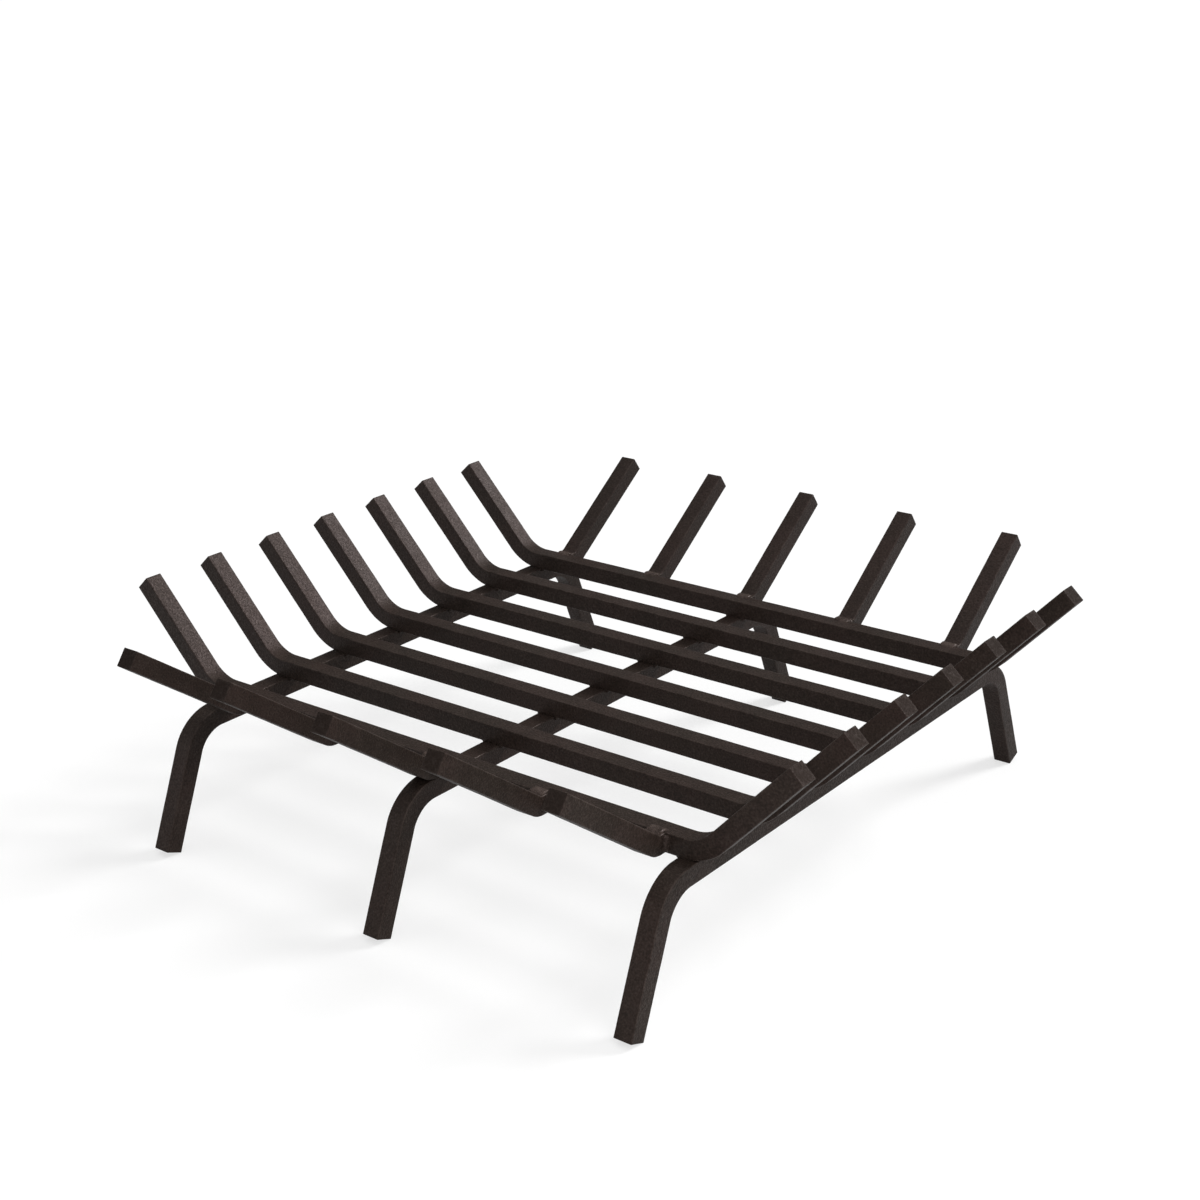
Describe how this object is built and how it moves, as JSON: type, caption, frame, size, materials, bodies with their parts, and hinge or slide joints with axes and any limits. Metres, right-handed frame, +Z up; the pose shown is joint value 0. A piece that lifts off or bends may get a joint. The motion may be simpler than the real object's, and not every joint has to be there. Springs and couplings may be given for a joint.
{
  "type": "log grate",
  "caption": "Welded square-bar log grate: long bars with bent-up ends across bent leg bars, with short angled prongs front and back.",
  "frame": {"origin": "on the hearth, at the middle of the grate's footprint", "axes": "+X along the long bars, to the right when seen from the front; +Y from the front to the back; +Z up"},
  "size_m": [0.6758, 0.6714, 0.209],
  "materials": {
    "bar": "dark brown-black heat-resistant paint, satin, faintly mottled",
    "weld": "weld beads under the same paint, slightly smoother"
  },
  "bodies": {
    "root": {"long_bar_1": "bar", "long_bar_2": "bar", "long_bar_3": "bar", "long_bar_4": "bar", "long_bar_5": "bar", "long_bar_6": "bar", "long_bar_7": "bar", "leg_bar_left": "bar", "leg_bar_middle": "bar", "leg_bar_right": "bar", "front_prong_1": "bar", "front_prong_2": "bar", "front_prong_3": "bar", "front_prong_4": "bar", "front_prong_5": "bar", "back_prong_1": "bar", "back_prong_2": "bar", "back_prong_3": "bar", "back_prong_4": "bar", "back_prong_5": "bar", "leg_welds_left": "weld", "leg_welds_middle": "weld", "leg_welds_right": "weld", "front_prong_welds": "weld", "back_prong_welds": "weld"}
  },
  "joints": []
}
